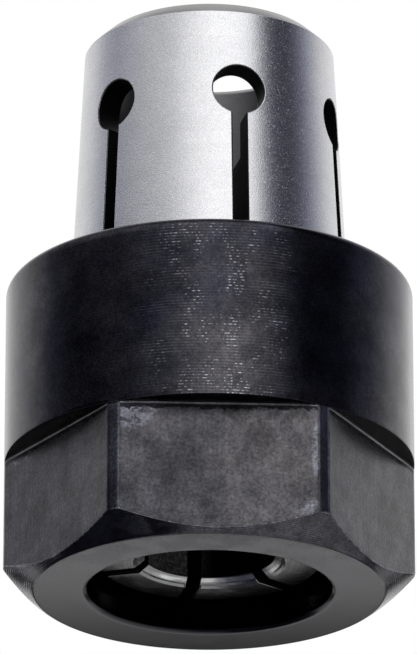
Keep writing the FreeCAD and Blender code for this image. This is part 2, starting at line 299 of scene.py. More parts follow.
def make_floor():
    """A round pale floor: place (r cos a, r sin a, -drop). From below it isn't seen, and near the part
    only the camera sees it, so that light for the nut's underside passes it."""
    radius = np.concatenate([[0.0], np.geomspace(0.01, FLOOR_RADIUS, 30)])
    far, turn = np.meshgrid(radius, np.linspace(0, 2 * np.pi, 97))
    points = np.stack([far * np.cos(turn), far * np.sin(turn), np.full_like(far, -FLOOR_DROP)], axis=-1)
    floor = grid_piece("floor", points)
    material, tree, output = new_material("pale_floor")
    surface = place(tree, "ShaderNodeBsdfPrincipled", {"Base Color": (0.86, 0.86, 0.85, 1.0),
                                                       "Roughness": 0.7})
    clear = place(tree, "ShaderNodeBsdfTransparent")
    rays = place(tree, "ShaderNodeLightPath").outputs
    below = place(tree, "ShaderNodeNewGeometry").outputs["Backfacing"]
    here = place(tree, "ShaderNodeTexCoord").outputs["Object"]
    reach = place(tree, "ShaderNodeVectorMath", {0: here}, operation="LENGTH").outputs["Value"]
    under = calculate(tree, "LESS_THAN", reach, GLOSS_OPENING)
    hidden = calculate(tree, "SUBTRACT", 1.0, rays["Is Camera Ray"])
    hidden = calculate(tree, "MULTIPLY", hidden, under)
    hidden = calculate(tree, "MAXIMUM", hidden, below)
    hidden = calculate(tree, "MAXIMUM", hidden, rays["Is Shadow Ray"])
    mix = place(tree, "ShaderNodeMixShader", {0: hidden, 1: surface.outputs[0], 2: clear.outputs[0]})
    tree.links.new(mix.outputs[0], output.inputs["Surface"])
    dress(floor, material)


LAMP_AIM = 18.0 * MM


def make_lamp(name, azimuth, elevation, distance, size, watts):
    """A square soft lamp that looks at the middle of the object."""
    data = bpy.data.lights.new(name, "AREA")
    data.shape = "SQUARE"
    data.size = size
    data.energy = watts
    lamp = bpy.data.objects.new(name, data)
    turn, rise = math.radians(azimuth + CAMERA_TURN), math.radians(elevation)
    away = np.array([math.sin(turn) * math.cos(rise), -math.cos(turn) * math.cos(rise), math.sin(rise)])
    lamp.location = np.array([0, 0, LAMP_AIM]) + away * distance
    lamp.rotation_euler = (math.pi / 2 - rise, 0, turn)
    lamp.visible_camera = False
    lamp.visible_glossy = False
    scene.collection.objects.link(lamp)


# The nut's surface

FLAT_DISTANCE = 11.0 * MM
NUT_RADIUS = nut_high.x
NUT_TOP = nut_high.z
FACE_RADIUS = 10.64 * MM
FACE_CONE_ANGLE = 36.0
LEDGE_HEIGHT = 8.1 * MM
LEDGE_FILLET = 0.15 * MM
NUT_TOP_ROUND = 0.5 * MM
MOUTH_RADIUS = 7.39 * MM
MOUTH_EDGE = 0.21 * MM
SEAT_START = 2.59 * MM
NUT_BORE_RADIUS = 9.35 * MM
NUT_GROOVE_RADIUS = 9.9 * MM
NUT_GROOVE_START = 6.0 * MM
NUT_GROOVE_END = 7.1 * MM
THREAD_FLOOR = 9.7 * MM
UNDERCUT_RADIUS = 11.2 * MM
UNDERCUT_END = 11.1 * MM
THREAD_RADIUS = 11.0 * MM
THREAD_LEAD_IN = 0.4 * MM

EDGE_ROUND = 0.07 * MM
FLAT_EDGE_ROUND = 0.16 * MM
WEAR_BAND = 0.22 * MM
SIDE_WEAR = 0.55
OFF_CONE = 0.05 * MM
ROUND_STEPS = 6
FLAT_COLUMNS = 25
CUT_SHARE = 0.4
BAND_SHARE = 0.45


def corner_curve(before, corner, after, steps=ROUND_STEPS):
    """Rounds a corner c between the points a and b: c + (a-c)(1 - sin t) + (b-c)(1 - cos t), t from 0 to
    90 degrees, which is a circle's arc where the sides are square to each other."""
    turn = np.linspace(0, np.pi / 2, steps + 1).reshape((-1,) + (1,) * np.ndim(corner))
    return corner + (before - corner) * (1 - np.sin(turn)) + (after - corner) * (1 - np.cos(turn))


def nut_outline():
    """The nut's outline where the flats are, seen along Z: radius, azimuth and wear for each column.
    A sixth of it is a circle's arc, a rounded corner, a straight flat, and the same mirrored."""
    half_flat = math.sqrt(NUT_RADIUS ** 2 - FLAT_DISTANCE ** 2)
    corner_turn = math.atan2(half_flat, FLAT_DISTANCE)
    cut_turn = FLAT_EDGE_ROUND / NUT_RADIUS
    turn = -np.radians(30) + np.linspace(0, 1, 3) * (np.radians(30) - corner_turn - cut_turn)
    strip = np.stack([NUT_RADIUS * np.sin(turn), NUT_RADIUS * np.cos(turn)], axis=-1)
    corner = np.array([-half_flat, FLAT_DISTANCE])
    curve = corner_curve(strip[-1], corner, corner + (FLAT_EDGE_ROUND, 0))
    inner = half_flat - FLAT_EDGE_ROUND - WEAR_BAND
    across = np.linspace(-inner, inner, FLAT_COLUMNS)
    flat = np.stack([across, np.full_like(across, FLAT_DISTANCE)], axis=-1)
    wear = 0.5 + 0.5 * np.sin(np.pi * np.linspace(0, 1, len(curve)))
    mirror = np.array([-1.0, 1.0])
    points = np.concatenate([strip[:-1], curve, flat, curve[::-1] * mirror, strip[:-1][::-1][:-1] * mirror])
    worn = np.concatenate([np.zeros(2), wear, np.zeros(FLAT_COLUMNS), wear[::-1], np.zeros(1)])
    radius = np.hypot(points[:, 0], points[:, 1])
    azimuth = np.arctan2(points[:, 0], points[:, 1])
    sixth = np.arange(6)[:, None] * np.radians(60)
    return np.tile(radius, 6), (sixth + azimuth).ravel(), np.tile(worn, 6)


def rounded_rows(corners, cuts, wears):
    """The rows of a closed outline whose corners are arrays of radius and height for the columns.
    Each corner is rounded over its cut, with a row on either side where its worn band ends."""
    rows, worn = [], []
    count = len(corners)
    for index, (cut, wear) in enumerate(zip(cuts, wears)):
        corner = corners[index]
        arms = []
        for other in (corners[index - 1], corners[(index + 1) % count]):
            arm = other - corner
            length = np.linalg.norm(arm, axis=-1, keepdims=True)
            arm = arm / np.maximum(length, 1e-9)
            near = np.minimum(cut, CUT_SHARE * length)
            far = np.minimum(cut + WEAR_BAND, BAND_SHARE * length)
            arms.append((arm * near, arm * far))
        (near_before, far_before), (near_after, far_after) = arms
        rows.append((corner + far_before)[None])
        rows.append(corner_curve(corner + near_before, corner, corner + near_after))
        rows.append((corner + far_after)[None])
        rise = 0.5 + 0.5 * np.sin(np.pi * np.linspace(0, 1, ROUND_STEPS + 1))
        worn.append(np.concatenate([[0.0], wear * rise, [0.0]]))
    return np.concatenate(rows), np.concatenate(worn)


def make_nut_surface():
    """The nut's whole skin as one closed grid: its columns go round the axis, its rows round its
    section. Under the ledges the outside follows the flats, and the cone runs up to meet them. Each
    corner of the section has its radius, its height, how far it is rounded and how worn it is."""
    radius, azimuth, side_wear = nut_outline()
    cone = math.tan(math.radians(FACE_CONE_ANGLE))
    whole = np.ones_like(radius)
    section = [
        (MOUTH_RADIUS + MOUTH_EDGE, 0, EDGE_ROUND, 0.12),
        (FACE_RADIUS, 0, EDGE_ROUND, 0.4),
        (radius, (radius - FACE_RADIUS) * cone, EDGE_ROUND, 1.0),
        (radius, LEDGE_HEIGHT, LEDGE_FILLET, 0.0),
        (NUT_RADIUS, LEDGE_HEIGHT, EDGE_ROUND * 0.6, 0.25),
        (NUT_RADIUS, NUT_TOP, NUT_TOP_ROUND, 0.0),
        (THREAD_RADIUS + THREAD_LEAD_IN, NUT_TOP, EDGE_ROUND, 0.5),
        (THREAD_RADIUS, NUT_TOP - THREAD_LEAD_IN, EDGE_ROUND, 0.3),
        (THREAD_RADIUS, UNDERCUT_END, EDGE_ROUND, 0),
        (UNDERCUT_RADIUS, UNDERCUT_END, EDGE_ROUND, 0),
        (UNDERCUT_RADIUS, THREAD_FLOOR, EDGE_ROUND, 0),
        (NUT_BORE_RADIUS, THREAD_FLOOR, EDGE_ROUND, 0.5),
        (NUT_BORE_RADIUS, NUT_GROOVE_END, EDGE_ROUND, 0),
        (NUT_GROOVE_RADIUS, NUT_GROOVE_END, EDGE_ROUND, 0),
        (NUT_GROOVE_RADIUS, NUT_GROOVE_START, EDGE_ROUND, 0),
        (NUT_BORE_RADIUS, NUT_GROOVE_START, EDGE_ROUND, 0),
        (NUT_BORE_RADIUS, SEAT_START + NUT_BORE_RADIUS - MOUTH_RADIUS, EDGE_ROUND, 0),
        (MOUTH_RADIUS, SEAT_START, EDGE_ROUND, 0),
        (MOUTH_RADIUS, MOUTH_EDGE, EDGE_ROUND, 0.0),
    ]
    corners = np.array([np.stack([r * whole, z * whole], axis=-1) for r, z, _, _ in section])
    rows, row_wear = rounded_rows(corners, [line[2] for line in section], [line[3] for line in section])
    out, height = rows[..., 0], rows[..., 1]
    points = np.stack([out * np.sin(azimuth), -out * np.cos(azimuth), height], axis=-1)
    above_cone = height > (out - FACE_RADIUS) * cone + OFF_CONE
    beside = above_cone & (height < LEDGE_HEIGHT) & (out > FACE_RADIUS)
    edge = np.maximum(row_wear[:, None], SIDE_WEAR * side_wear * beside)
    surface = grid_piece("nut_surface", points, True, True, {"edge": edge})
    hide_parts("clamping_nut")
    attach(surface, "nut")
    surface.modifiers.new("even_shading", "WEIGHTED_NORMAL").keep_sharp = True
    return surface


# The thread in the nut

THREAD_PITCH = 1.5 * MM
THREAD_CREST = 10.19 * MM
CREST_WIDTH = 0.38 * MM
ROOT_WIDTH = 1.3 * MM
THREAD_SUNK = 0.03 * MM
THREAD_FADE = 1.2
STEPS_PER_TURN = 96


def make_thread():
    """The ridge of the nut's thread: a section of root, flank and crest carried along the helix
    z = start + pitch a / 2 pi. It sinks into the wall at both ends."""
    start = UNDERCUT_END + ROOT_WIDTH / 2
    finish = NUT_TOP - THREAD_LEAD_IN - ROOT_WIDTH / 2
    turns = (finish - start) / THREAD_PITCH
    turn = np.linspace(0, 2 * np.pi * turns, int(STEPS_PER_TURN * turns))
    rise = eased(turn, 0, THREAD_FADE) * eased(-turn, -turn[-1], THREAD_FADE - turn[-1])
    depth = (THREAD_RADIUS - THREAD_CREST + 0.5 * THREAD_SUNK) * rise - 0.5 * THREAD_SUNK
    profile = np.array([(-ROOT_WIDTH / 2, -THREAD_SUNK), (-ROOT_WIDTH / 2, 0), (-CREST_WIDTH / 2, 1.0),
                        (CREST_WIDTH / 2, 1.0), (ROOT_WIDTH / 2, 0), (ROOT_WIDTH / 2, -THREAD_SUNK)])
    inward = np.where(profile[:, 1] > 0, profile[:, 1] * depth[:, None], profile[:, 1] + 0 * depth[:, None])
    radius = THREAD_RADIUS - inward
    height = start + THREAD_PITCH * turn[:, None] / (2 * np.pi) + profile[:, 0]
    points = np.stack([radius * np.sin(turn)[:, None], -radius * np.cos(turn)[:, None], height], axis=-1)
    tips = np.repeat(points[[0, -1]].mean(axis=1, keepdims=True), points.shape[1], axis=1)
    points = np.concatenate([tips[:1], points, tips[1:]])
    ridge = grid_piece("spindle_thread", points, closed_columns=True)
    ridge.modifiers.new("flank_edges", "WEIGHTED_NORMAL")
    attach(ridge, "nut")
    return ridge


# The collet with finer facets

TAPER_START = 9.05 * MM
TAPER_RADIUS = 9.05 * MM
TAPER_ANGLE = 2.83
TAPER_END = 35.1 * MM
END_RADIUS = 6.817 * MM
SAME_PLACE = 0.1e-3 * MM
ON_SURFACE = 0.005 * MM
HALVINGS = 2
MOST_GROWTH = 1.01
SHARP_ANGLE = 30.0


def on_cone(radius, height, low, high):
    """Which points lie on the cone through two points given as radius and height."""
    cone = np.interp(height, [low[1], high[1]], [low[0], high[0]])
    between = (height > low[1] - ON_SURFACE) & (height < high[1] + ON_SURFACE)
    return between & (np.abs(radius - cone) < ON_SURFACE)


def halve_facets(points, faces):
    """Splits every triangle into four at the middles of its edges. The middle of a round edge moves out
    until its distance from the axis is the mean (r + s) / 2 of its ends' distances. An edge is round
    where its ends are equally far out, or both on the taper, or both on the end's chamfer."""
    pairs = np.sort(faces[:, [0, 1, 1, 2, 2, 0]].reshape(-1, 2), axis=1)
    edges, edge_of = np.unique(pairs, axis=0, return_inverse=True)
    ends = points[edges]
    radius = np.hypot(ends[..., 0], ends[..., 1])
    taper_end = TAPER_RADIUS - (TAPER_END - TAPER_START) * math.tan(math.radians(TAPER_ANGLE))
    low, high, top = (TAPER_RADIUS, TAPER_START), (taper_end, TAPER_END), (END_RADIUS, collet_high.z)
    rounded = np.abs(radius[:, 0] - radius[:, 1]) < ON_SURFACE
    rounded |= on_cone(radius, ends[..., 2], low, high).all(axis=1)
    rounded |= on_cone(radius, ends[..., 2], high, top).all(axis=1)
    middle = ends.mean(axis=1)
    mean = radius.mean(axis=1)
    grown = mean / np.maximum(np.hypot(middle[:, 0], middle[:, 1]), SAME_PLACE)
    rounded &= grown < MOST_GROWTH
    middle[:, :2] *= np.where(rounded, grown, 1.0)[:, None]
    a, b, c = faces.T
    ab, bc, ca = len(points) + edge_of.reshape(-1, 3).T
    quarters = [(a, ab, ca), (ab, b, bc), (ca, bc, c), (ab, bc, ca)]
    return np.concatenate([points, middle]), np.concatenate([np.stack(part, axis=1) for part in quarters])


def make_collet():
    """The CAD collet's own surface, with its facets halved until round edges look round."""
    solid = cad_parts["spring_collet"].data
    loose = np.empty(3 * len(solid.vertices))
    solid.vertices.foreach_get("co", loose)
    corners = np.empty(len(solid.loops), dtype=int)
    solid.loops.foreach_get("vertex_index", corners)
    steps = np.round(loose.reshape(-1, 3) / SAME_PLACE).astype(np.int64)
    _, first, merged = np.unique(steps, axis=0, return_index=True, return_inverse=True)
    points = loose.reshape(-1, 3)[first]
    faces = merged.ravel()[corners].reshape(-1, 3)
    for _ in range(HALVINGS):
        points, faces = halve_facets(points, faces)
    mesh = bpy.data.meshes.new("tapered_collet")
    mesh.from_pydata(points.tolist(), [], faces.tolist())
    mesh.shade_smooth()
    mesh.set_sharp_from_angle(angle=math.radians(SHARP_ANGLE))
    collet = bpy.data.objects.new("tapered_collet", mesh)
    scene.collection.objects.link(collet)
    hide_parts("spring_collet")
    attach(collet, "collet")
    collet.modifiers.new("even_shading", "WEIGHTED_NORMAL").keep_sharp = True
    return collet


# Shared effects

VALUE = "NodeSocketFloat"
HERE = (0.0, 0.0, 0.0)
ROW_STEP = 5.3


def here(tree):
    """The shaded point, in the piece's own coordinates."""
    return place(tree, "ShaderNodeTexCoord").outputs["Object"]


def noise(tree, vector, scale, detail=2.0, roughness=0.5, row=None):
    """Smooth random values from 0 to 1, mostly near the middle, with so many waves to a metre. Each
    row has values of its own."""
    feeds = {"Vector": vector, "Scale": scale, "Detail": detail, "Roughness": roughness}
    if row is None:
        return place(tree, "ShaderNodeTexNoise", feeds).outputs[0]
    return place(tree, "ShaderNodeTexNoise", {**feeds, "W": row}, noise_dimensions="4D").outputs[0]


def stretched(tree, vector, x, y, z):
    """A place with its three coordinates scaled."""
    return place(tree, "ShaderNodeVectorMath", {0: vector, 1: (x, y, z)}, operation="MULTIPLY").outputs[0]


def turned_place(tree, point):
    """The height of a point, its distance from the axis, and how far it is along a turned outline."""
    height = place(tree, "ShaderNodeSeparateXYZ", {0: point}).outputs["Z"]
    level = stretched(tree, point, 1.0, 1.0, 0.0)
    radius = place(tree, "ShaderNodeVectorMath", {0: level}, operation="LENGTH").outputs["Value"]
    return height, radius, calculate(tree, "ADD", height, radius)


def sixth_place(tree, point):
    """A point's azimuth, and its azimuth from the middle of the nearest of the six wrench flats."""
    parts = place(tree, "ShaderNodeSeparateXYZ", {0: point}).outputs
    azimuth = calculate(tree, "ARCTAN2", parts["X"], calculate(tree, "MULTIPLY", parts["Y"], -1.0))
    return azimuth, calculate(tree, "WRAP", azimuth, math.radians(30), math.radians(-30))


def make_turning_marks():
    """Rings left by the lathe: a feed line at each pitch, uneven in strength, with fine random rings
    between. Height is for bump, Crest is 1 along the lines, and Glints are short dashes on them."""
    tree, given, result = new_group(
        "turning_marks", {"Place": HERE, "Pitch": 0.19 * MM, "Rings": 7000.0},
        {"Height": VALUE, "Crest": VALUE, "Glints": VALUE})
    point = given["Place"]
    _, _, along = turned_place(tree, point)
    count = calculate(tree, "DIVIDE", along, given["Pitch"])
    count = calculate(tree, "ADD", count, noise(tree, point, 160.0))
    wave = calculate(tree, "SINE", calculate(tree, "MULTIPLY", count, 2 * math.pi))
    strength = ramp(tree, noise(tree, stretched(tree, point, 1.0, 1.0, 2.0), 420.0), 0.38, 0.62, 0.1, 1.0)
    crest = calculate(tree, "MULTIPLY", ramp(tree, wave, -0.1, 0.95), strength)
    level = stretched(tree, point, 90.0, 90.0, 0.0)
    rise = calculate(tree, "MULTIPLY", along, given["Rings"])
    ring_place = place(tree, "ShaderNodeCombineXYZ", {"Z": rise}).outputs[0]
    ring_place = place(tree, "ShaderNodeVectorMath", {0: level, 1: ring_place}, operation="ADD").outputs[0]
    rings = noise(tree, ring_place, 1.0)
    both = calculate(tree, "MULTIPLY_ADD", rings, 0.8, crest)
    own_row = calculate(tree, "MULTIPLY", calculate(tree, "FLOOR", count), ROW_STEP)
    dash = noise(tree, stretched(tree, point, 1.0, 1.0, 0.0), 6500.0, 0.0, 0.5, own_row)
    cluster = ramp(tree, noise(tree, stretched(tree, point, 1.0, 1.0, 0.45), 900.0, 2.0), 0.48, 0.57)
    glints = calculate(tree, "MULTIPLY", ramp(tree, dash, 0.5, 0.78), ramp(tree, wave, 0.35, 0.95))
    glints = calculate(tree, "MULTIPLY", glints, cluster)
    for name, socket in (("Height", both), ("Crest", crest), ("Glints", glints)):
        tree.links.new(socket, result.inputs[name])
    return tree


def make_mottle():
    """Soft blotches with a frayed edge, and fine specks."""
    tree, given, result = new_group(
        "mottle", {"Place": HERE, "Blotch Scale": 300.0, "Speck Scale": 7000.0},
        {"Blotches": VALUE, "Specks": VALUE})
    blotches = ramp(tree, noise(tree, given["Place"], given["Blotch Scale"], 5.0, 0.62), 0.36, 0.64)
    specks = ramp(tree, noise(tree, given["Place"], given["Speck Scale"], 1.0), 0.3, 0.7)
    tree.links.new(blotches, result.inputs["Blotches"])
    tree.links.new(specks, result.inputs["Specks"])
    return tree


def make_edge_wear():
    """Bare metal along an edge, from the piece's edge value, frayed and broken up."""
    tree, given, result = new_group(
        "edge_wear", {"Place": HERE, "Edge": 0.0, "Fray": 0.5}, {"Bare": VALUE})
    fray = calculate(tree, "SUBTRACT", noise(tree, given["Place"], 2600.0, 4.0, 0.65), 0.5)
    patchy = calculate(tree, "SUBTRACT", noise(tree, given["Place"], 420.0), 0.5)
    level = calculate(tree, "MULTIPLY_ADD", fray, given["Fray"], given["Edge"])
    level = calculate(tree, "ADD", level, patchy)
    bare = calculate(tree, "MULTIPLY", ramp(tree, level, 0.5, 0.95), ramp(tree, given["Edge"], 0.0, 0.3))
    tree.links.new(bare, result.inputs["Bare"])
    return tree


def bump(tree, height, distance, normal=None):
    """A normal from a height, with the distance between height 0 and 1."""
    feeds = {"Height": height, "Distance": distance, "Strength": 1.0}
    if normal is not None:
        feeds["Normal"] = normal
    return place(tree, "ShaderNodeBump", feeds).outputs[0]


def product(tree, *values):
    """Several values multiplied."""
    result = values[0]
    for value in values[1:]:
        result = calculate(tree, "MULTIPLY", result, value)
    return result


def spot(tree, point, centre, reach):
    """1 at a centre given as x and z on the front flat, fading to 0 at its reach in x and z."""
    moved = place(tree, "ShaderNodeVectorMath", {0: point, 1: (centre[0], -FLAT_DISTANCE, centre[1])},
                  operation="SUBTRACT").outputs[0]
    scaled = stretched(tree, moved, 1 / reach[0], 1 / MM, 1 / reach[1])
    far = place(tree, "ShaderNodeVectorMath", {0: scaled}, operation="LENGTH").outputs["Value"]
    return ramp(tree, far, 0.3, 1.0, 1.0, 0.0)


# Finishes

def shared(tree, effect, feeds):
    """The outputs of a shared effect, with values for its named inputs."""
    return place(tree, "ShaderNodeGroup", feeds, node_tree=effect).outputs


def rest_of(tree, value):
    """What is left of 1."""
    return calculate(tree, "SUBTRACT", 1.0, value)


def fading(tree, value, band):
    """1 up to a band's start, eased to 0 at its end."""
    return ramp(tree, value, *band, 1.0, 0.0)


def shaded(tree, colour, factor):
    """A colour times a factor."""
    grey = place(tree, "ShaderNodeCombineXYZ", {0: factor, 1: factor, 2: factor}).outputs[0]
    return blend(tree, 1.0, colour, grey, "MULTIPLY")


def cover_with_metal(tree, output, colour, rough, relief):
    """The metal itself, with its colour, roughness and relief."""
    surface = place(tree, "ShaderNodeBsdfPrincipled", {"Base Color": colour, "Roughness": rough,
                                                       "Metallic": 1.0, "Normal": relief})
    tree.links.new(surface.outputs[0], output.inputs["Surface"])


# Black oxide: its colours, and its areas as bands that run from where each starts to where it is full

OXIDE = (0.024, 0.0242, 0.034, 1.0)
OXIDE_HAZE = (0.054, 0.051, 0.053, 1.0)
OXIDE_STRIP = (0.16, 0.157, 0.172, 1.0)
# Painted shade: black for the nut's mouth and bore
OXIDE_PAINTED_SHADE = (0.006, 0.006, 0.007, 1.0)
FLAT_DARK = (0.045, 0.044, 0.053, 1.0)
FLAT_LIGHT = (0.072, 0.069, 0.073, 1.0)
RUBBED = (0.16, 0.16, 0.19, 1.0)
BARE_STEEL = (0.5, 0.5, 0.54, 1.0)
# Painted shade: black for the band below each ledge and for the ledge's underside
PAINTED_SHADE_BLACK = (0.006, 0.006, 0.008, 1.0)
# Painted highlight: a pale line along the fillet at each ledge's root
FILLET_PAINTED_HIGHLIGHT = (0.12, 0.12, 0.13, 1.0)
SCUFFED = (0.15, 0.15, 0.18, 1.0)

HALF_FLAT = 5.94 * MM
FLAT_REACH = (0.02 * MM, 0.05 * MM)
FLAT_SIDE = (HALF_FLAT - 0.12 * MM, HALF_FLAT)
STRIP_SIDE = (HALF_FLAT - 0.1 * MM, HALF_FLAT)
STRIP_OUT = (NUT_RADIUS - 0.05 * MM, NUT_RADIUS - 0.02 * MM)
BELOW_LEDGE = (LEDGE_HEIGHT - 0.08 * MM, LEDGE_HEIGHT)
ABOVE_LEDGE = (LEDGE_HEIGHT, LEDGE_HEIGHT + 0.05 * MM)
BELOW_RIM = (NUT_TOP - NUT_TOP_ROUND, NUT_TOP - 0.4 * MM)
OUTSIDE = (10.4 * MM, 10.6 * MM)
BODY_OUT = (11.5 * MM, 12.0 * MM)
MOUTH_TO_FACE = (MOUTH_RADIUS + MOUTH_EDGE, 10.5 * MM)
MOUTH_RISE = (0.02 * MM, MOUTH_EDGE)
CONE_FOOT = (0.05 * MM, 0.1 * MM)
CONE_TOP = (1.35 * MM, 1.5 * MM)
HAZE_RISE = (LEDGE_HEIGHT, LEDGE_HEIGHT + 3.0 * MM)

# The band of painted shade below each ledge: how far it reaches and how ragged its lower border is.
LEDGE_SHADE_DEPTH = 0.4 * MM
LEDGE_SHADE_FRAY = 1.0 * MM
LEDGE_SHADE_EDGE = (LEDGE_HEIGHT - LEDGE_SHADE_DEPTH + 0.5 * MM, LEDGE_HEIGHT - LEDGE_SHADE_DEPTH + 0.58 * MM)
FILLET_FOOT = (LEDGE_HEIGHT - 0.13 * MM, LEDGE_HEIGHT - 0.1 * MM)
FILLET_TOP = (LEDGE_HEIGHT - 0.04 * MM, LEDGE_HEIGHT - 0.02 * MM)
FILLET_REACH = (0.12 * MM, 0.15 * MM)
LEDGE_FOOT = (LEDGE_HEIGHT - 0.03 * MM, LEDGE_HEIGHT - 0.01 * MM)
LEDGE_TOP = (LEDGE_HEIGHT + 0.01 * MM, LEDGE_HEIGHT + 0.03 * MM)
LEDGE_OUT = (11.0 * MM, 11.05 * MM)
RUB_RISE = (LEDGE_HEIGHT - 0.85 * MM, LEDGE_HEIGHT - 0.45 * MM)
SCUFFS = (((-5.3 * MM, 7.5 * MM), (2.2 * MM, 1.5 * MM)), ((5.5 * MM, 1.5 * MM), (1.3 * MM, 0.7 * MM)),
          ((5.8 * MM, 5.2 * MM), (0.45 * MM, 2.6 * MM)))
FEED_DEPTH = 0.0025 * MM
MILLING_DEPTH = 0.004 * MM


def nut_areas(tree, point):
    """The nut's areas as masks, 1 on each and 0 off it, with the places that they come from. Across
    runs along the nearest flat, and gripped is 1 on three sides of the body."""
    height, radius, _ = turned_place(tree, point)
    azimuth, wrapped = sixth_place(tree, point)
    across = calculate(tree, "MULTIPLY", radius, calculate(tree, "SINE", wrapped))
    out = calculate(tree, "MULTIPLY", radius, calculate(tree, "COSINE", wrapped))
    off_flat = calculate(tree, "ABSOLUTE", calculate(tree, "SUBTRACT", out, FLAT_DISTANCE))
    aside = calculate(tree, "ABSOLUTE", across)
    below_ledge = fading(tree, height, BELOW_LEDGE)
    below_rim = fading(tree, height, BELOW_RIM)
    outside = ramp(tree, radius, *OUTSIDE)
    milled = product(tree, fading(tree, off_flat, FLAT_REACH), below_ledge, fading(tree, aside, FLAT_SIDE))
    strip = product(tree, ramp(tree, aside, *STRIP_SIDE), below_ledge, ramp(tree, radius, *STRIP_OUT))
    turned = product(tree, rest_of(tree, milled), below_rim)
    body = product(tree, ramp(tree, height, *ABOVE_LEDGE), below_rim, ramp(tree, radius, *BODY_OUT))
    inside = product(tree, fading(tree, radius, MOUTH_TO_FACE), ramp(tree, height, *MOUTH_RISE))
    cone = product(tree, ramp(tree, height, *CONE_FOOT), outside, fading(tree, height, CONE_TOP), turned)
    thirds = calculate(tree, "COSINE", calculate(tree, "MULTIPLY", azimuth, 3.0))
    gripped = ramp(tree, thirds, 0.1, 0.9)
    return SimpleNamespace(height=height, radius=radius, across=across, off_flat=off_flat, outside=outside,
                           milled=milled, strip=strip, turned=turned, body=body, inside=inside, cone=cone,
                           gripped=gripped)


def plain_oxide(tree, nut, patches, stains, streaks):
    """The oxide before wear: hazy on the body, blotched and streaked on the flats, with a painted sheen
    that lightens each flat towards one end, paler on the strips between them, and painted black as
    shade in the mouth and bore."""
    towards_ledge = ramp(tree, nut.height, *HAZE_RISE, 0.6, 0.0)
    haze = calculate(tree, "MULTIPLY_ADD", patches["Blotches"], 0.35,
                     product(tree, stains["Blotches"], 0.65))
    haze = calculate(tree, "MAXIMUM", product(tree, haze, 0.8), towards_ledge)
    colour = blend(tree, haze, OXIDE, OXIDE_HAZE)
    # Painted sheen: each flat is made lighter towards its end at positive across.
    painted_sheen_across = ramp(tree, nut.across, -HALF_FLAT, HALF_FLAT, -0.1, 0.65)
    level = calculate(tree, "MULTIPLY_ADD", patches["Blotches"], 0.4, painted_sheen_across)
    level = calculate(tree, "MULTIPLY_ADD", ramp(tree, streaks, 0.3, 0.7), 0.35, level)
    colour = blend(tree, nut.milled, colour, blend(tree, level, FLAT_DARK, FLAT_LIGHT))
    colour = blend(tree, nut.strip, colour, OXIDE_STRIP)
    # Painted shade: the mouth and bore are painted black.
    return blend(tree, nut.inside, colour, OXIDE_PAINTED_SHADE)


def painted_ledge_shade_band(tree, nut, frayed):
    """Painted shade: a black band along each flat's top edge, under its ledge, with a ragged lower border."""
    ragged = calculate(tree, "MULTIPLY_ADD", frayed, LEDGE_SHADE_FRAY, nut.height)
    return product(tree, ramp(tree, ragged, *LEDGE_SHADE_EDGE), nut.milled)


def mark_ledges(tree, colour, nut, painted_ledge_shade):
    """Painted shade and light at each ledge: a black band below it, a painted highlight on the fillet at its
    root, and its underside painted black as shade.
    """
    # Painted shade: the black band below each ledge.
    colour = blend(tree, product(tree, painted_ledge_shade, 0.85), colour, PAINTED_SHADE_BLACK)
    # Painted highlight: a pale line along the fillet at each ledge's root.
    fillet = product(tree, ramp(tree, nut.height, *FILLET_FOOT), fading(tree, nut.height, FILLET_TOP),
                     fading(tree, nut.off_flat, FILLET_REACH))
    colour = blend(tree, fillet, colour, FILLET_PAINTED_HIGHLIGHT)
    # Painted shade: the ledge's underside is painted black.
    underside = product(tree, ramp(tree, nut.height, *LEDGE_FOOT), fading(tree, nut.height, LEDGE_TOP),
                        ramp(tree, nut.radius, *LEDGE_OUT))
    return blend(tree, underside, colour, PAINTED_SHADE_BLACK)


def scuffed_places(tree, point, nut, frayed, painted_ledge_shade):
    """Rubbed places: along the top of each flat, most of all on its left, and the front flat's own."""
    streaked = noise(tree, stretched(tree, point, 1.0, 1.0, 2.5), 700.0)
    leftward = ramp(tree, nut.across, -HALF_FLAT, 0.5 * HALF_FLAT, 1.0, 0.4)
    rub = product(tree, ramp(tree, nut.height, *RUB_RISE), ramp(tree, streaked, 0.38, 0.56), leftward)
    for centre, reach in SCUFFS:
        rub = calculate(tree, "MAXIMUM", rub, spot(tree, point, centre, reach))
    rub = product(tree, rub, nut.milled, ramp(tree, frayed, 0.4, 0.58), rest_of(tree, painted_ledge_shade))
    return ramp(tree, rub, 0.05, 0.8, 0.0, 0.85)


def bare_places(tree, point, nut, lines, frayed, edge_wear):
    """Bare metal: worn edges, a dotted line on the sharpest of them, and glints on the body."""
    worn_edge = place(tree, "ShaderNodeAttribute", attribute_name="edge").outputs["Fac"]
    wear = shared(tree, edge_wear, {"Place": point, "Edge": worn_edge})["Bare"]
    glints = product(tree, lines["Glints"], nut.body, nut.gripped, 0.55)
    dotted = product(tree, ramp(tree, worn_edge, 0.8, 0.97), ramp(tree, frayed, 0.4, 0.62), 0.9)
    bare = calculate(tree, "MAXIMUM", product(tree, wear, 0.35), glints)
    return calculate(tree, "MAXIMUM", bare, dotted)


def oxide_relief(tree, nut, lines, patches, streaks):
    """Feed lines on what is turned, deepest on the cone, and milling marks on the flats."""
    cut = calculate(tree, "MAXIMUM", ramp(tree, nut.gripped, 0.0, 1.0, 0.12, 1.0), rest_of(tree, nut.body))
    cut = product(tree, cut, nut.turned, rest_of(tree, nut.strip))
    groove = calculate(tree, "MULTIPLY_ADD", nut.cone, 3.0, cut)
    relief = bump(tree, product(tree, lines["Height"], groove), FEED_DEPTH)
    milling = calculate(tree, "ADD", patches["Specks"], streaks)
    return bump(tree, product(tree, milling, nut.milled), MILLING_DEPTH, relief)


